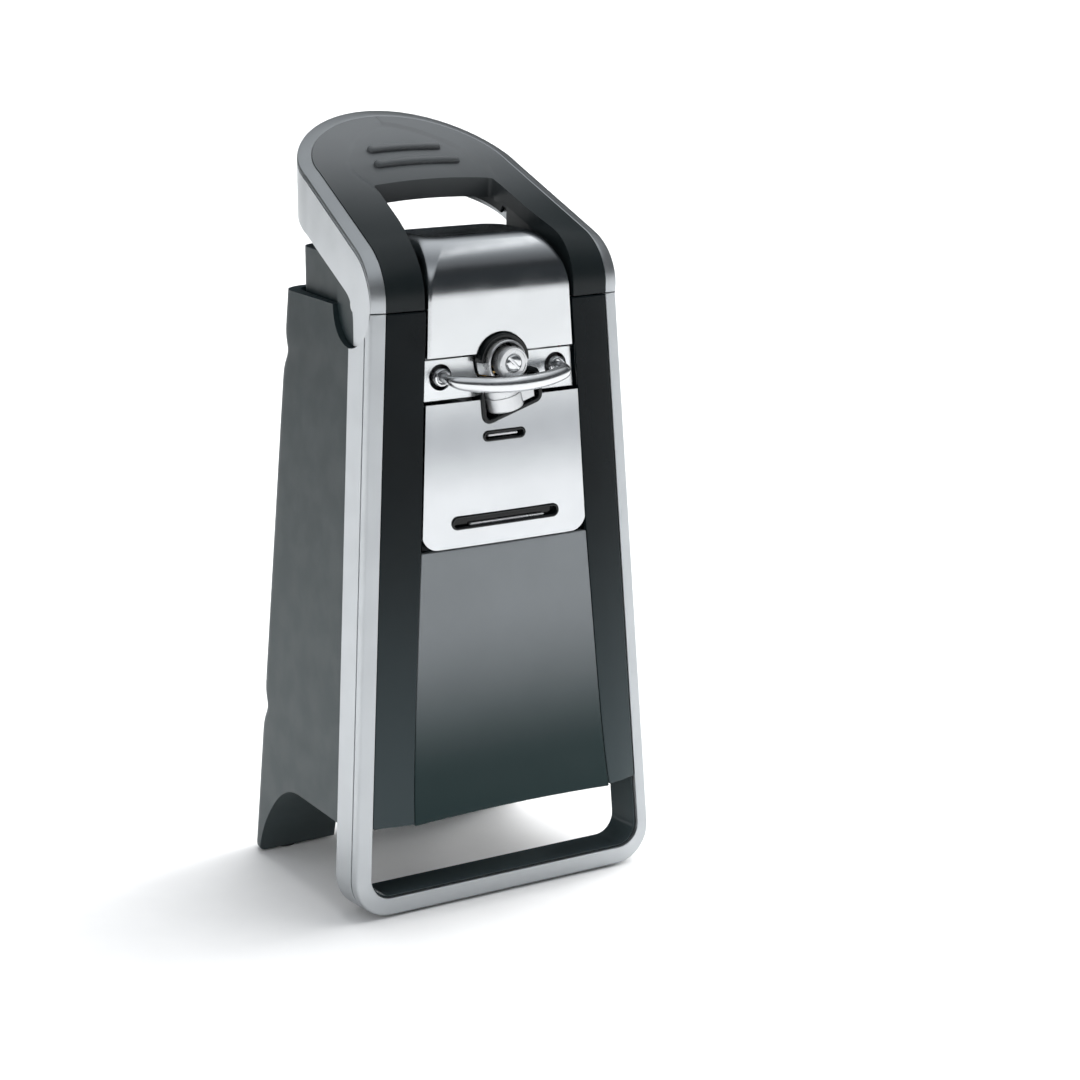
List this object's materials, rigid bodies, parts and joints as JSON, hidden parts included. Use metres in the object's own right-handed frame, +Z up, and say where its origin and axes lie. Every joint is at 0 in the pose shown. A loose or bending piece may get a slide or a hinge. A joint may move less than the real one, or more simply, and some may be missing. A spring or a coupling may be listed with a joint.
{
  "type": "electric can opener",
  "caption": "Upright electric can opener: tilting lever over a polished hood, gear-driven feed wheel, cutting wheel on a sliding carriage, looped front frame and scissors bay at the back.",
  "frame": {"origin": "middle of the whole object's footprint, on the surface it stands on", "axes": "+Z up, +Y towards the back, -Y towards the cutting mechanism at the front, +X to the right seen from the front"},
  "size_m": [0.1284, 0.11, 0.2839],
  "materials": {
    "silver_trim": "metallic silver lacquer, satin",
    "charcoal_plastic": "satin moulded",
    "black_gloss": "glossy moulded",
    "black_trim": "glossy",
    "satin_steel": "polished satin",
    "bright_steel": "machined",
    "chrome": "polished",
    "plain_steel": "zinc plated",
    "black_plastic": "matte",
    "rubber": "matte",
    "bronze": "sintered",
    "gear_metal": "machined",
    "nylon": "natural",
    "laminations": "oiled laminations",
    "copper_winding": "enamelled wire",
    "red_plastic": "glossy"
  },
  "bodies": {
    "body": {"front_trim_frame": "silver_trim", "front_bezel": "black_gloss", "front_lower_panel": "charcoal_plastic", "face_plate": "satin_steel", "upper_slot_trim": "black_trim", "lower_slot_trim": "black_trim", "slot_bars": "satin_steel", "mechanism_strip": "satin_steel", "cutter_pocket": "black_trim", "drive_cap": "black_trim", "drive_cone": "bright_steel", "motor_hood": "satin_steel", "rear_housing": "charcoal_plastic", "rear_cover": "charcoal_plastic", "base_plate": "black_plastic", "housing_screws": "plain_steel", "rubber_feet": "rubber", "cord_grommet": "rubber", "mechanism_plate": "plain_steel", "gearbox_plate": "plain_steel", "spacer_posts": "plain_steel", "drive_bushing": "bronze", "gear_studs": "plain_steel", "motor_stator": "laminations", "motor_coil": "copper_winding", "front_bracket": "plain_steel", "rear_bracket": "plain_steel", "power_switch": "black_plastic", "terminal_block": "nylon", "pivot_brackets": "plain_steel", "pivot_pins": "plain_steel", "lever_spring": "plain_steel"},
    "lever": {"lever_band": "silver_trim", "lever_cover": "black_gloss", "lever_skirt": "charcoal_plastic", "lever_arms": "plain_steel"},
    "plunger": {"switch_plunger": "red_plastic"},
    "carriage": {"cutter_carriage": "plain_steel", "cutter_axle": "bright_steel", "guide_loop": "chrome"},
    "cutter": {"cutting_wheel": "bright_steel"},
    "drive": {"output_gear": "gear_metal", "drive_shaft": "plain_steel", "drive_wheel": "bright_steel", "drive_screw": "bright_steel"},
    "second": {"second_gear": "nylon"},
    "first": {"first_gear": "nylon"},
    "rotor": {"motor_rotor": "laminations", "motor_shaft": "plain_steel", "cooling_fan": "nylon"}
  },
  "joints": [
    {"name": "lever_tilt", "type": "hinge", "parent": "body", "child": "lever", "pos_m": [0, -0.0217, 0.2228], "axis": [-1, 0, 0], "range_deg": [0, 14], "stiffness_Nm_per_rad": 0.5, "springref_deg": -20.05},
    {"name": "switch_press", "type": "slide", "parent": "body", "child": "plunger", "axis": [0, 0, -1], "range_m": [0, 0.00271]},
    {"name": "carriage_slide", "type": "slide", "parent": "body", "child": "carriage", "axis": [0, -1, 0], "range_m": [0, 0.00431]},
    {"name": "cutter_spin", "type": "hinge", "parent": "carriage", "child": "cutter", "pos_m": [0, -0.0421, 0.187], "axis": [-0.2419, 0, 0.9703], "continuous": true},
    {"name": "rotor_spin", "type": "hinge", "parent": "body", "child": "rotor", "pos_m": [-0.0006, 0.0065, 0.13702], "axis": [0, 1, 0], "continuous": true},
    {"name": "first_spin", "type": "hinge", "parent": "body", "child": "first", "pos_m": [-0.0006, -0.0135, 0.16027], "axis": [0, 1, 0], "continuous": true},
    {"name": "second_spin", "type": "hinge", "parent": "body", "child": "second", "pos_m": [-0.0158, -0.0185, 0.18044], "axis": [0, 1, 0], "continuous": true},
    {"name": "drive_spin", "type": "hinge", "parent": "body", "child": "drive", "pos_m": [0, -0.0235, 0.2014], "axis": [0, 1, 0], "continuous": true}
  ],
  "couplings": [
    {"joint": "switch_press", "follows": "lever_tilt", "m_per_rad": 0.01105},
    {"joint": "carriage_slide", "follows": "lever_tilt", "m_per_rad": 0.017598},
    {"joint": "first_spin", "follows": "rotor_spin", "ratio": -0.27778},
    {"joint": "second_spin", "follows": "rotor_spin", "ratio": 0.087719},
    {"joint": "drive_spin", "follows": "rotor_spin", "ratio": -0.026316}
  ]
}
